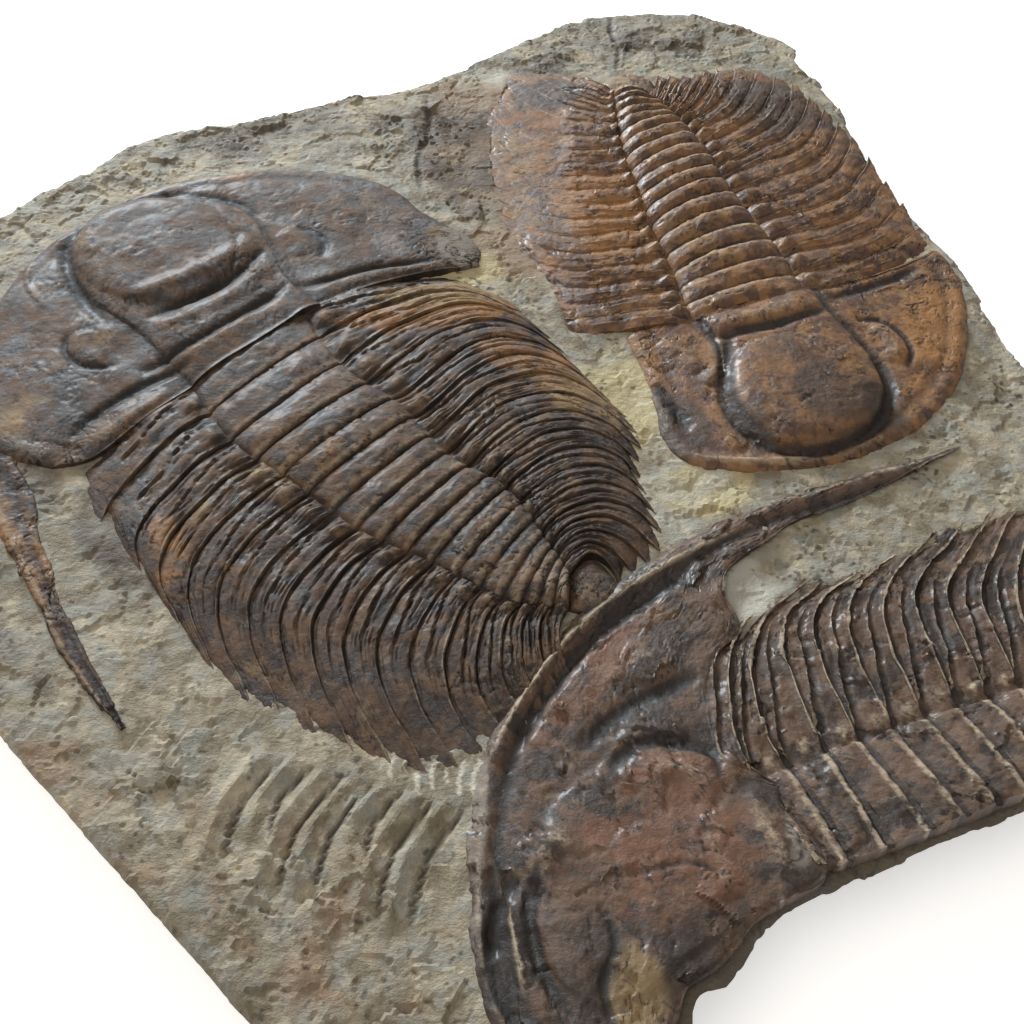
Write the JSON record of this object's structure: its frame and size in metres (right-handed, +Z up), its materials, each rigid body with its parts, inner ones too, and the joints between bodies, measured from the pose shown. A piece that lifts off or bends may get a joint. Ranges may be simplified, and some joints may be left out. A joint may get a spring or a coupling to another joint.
{
  "type": "fossil trilobite slab",
  "caption": "Irregular siltstone slab with large ribbed trilobite fossils standing in relief on its upper face, lying flat on a level underside.",
  "frame": {"origin": "middle of the slab's box, on its flat underside", "axes": "+Z up out of the fossil-bearing face, +Y along the slab's long side, away from the front edge, +X to the right"},
  "size_m": [0.508, 0.568, 0.0394],
  "materials": {
    "matrix": "rough olive-grey siltstone with ochre stains",
    "shell_a": "purple-brown mineralised shell under a satin varnish, dark in the furrows",
    "shell_b": "rust-orange and brown mineralised shell under a satin varnish",
    "shell_c": "red-brown mineralised shell under a satin varnish"
  },
  "bodies": {
    "root": {"matrix_slab": "matrix", "head_shield_a": "shell_a", "thorax_a": "shell_a", "tail_shield_a": "shell_a", "cheek_spine_a": "shell_a", "head_shield_b": "shell_b", "thorax_b": "shell_b", "tail_shield_b": "shell_b", "head_shield_c": "shell_c", "thorax_c": "shell_c", "tail_shield_c": "shell_c"}
  },
  "joints": []
}
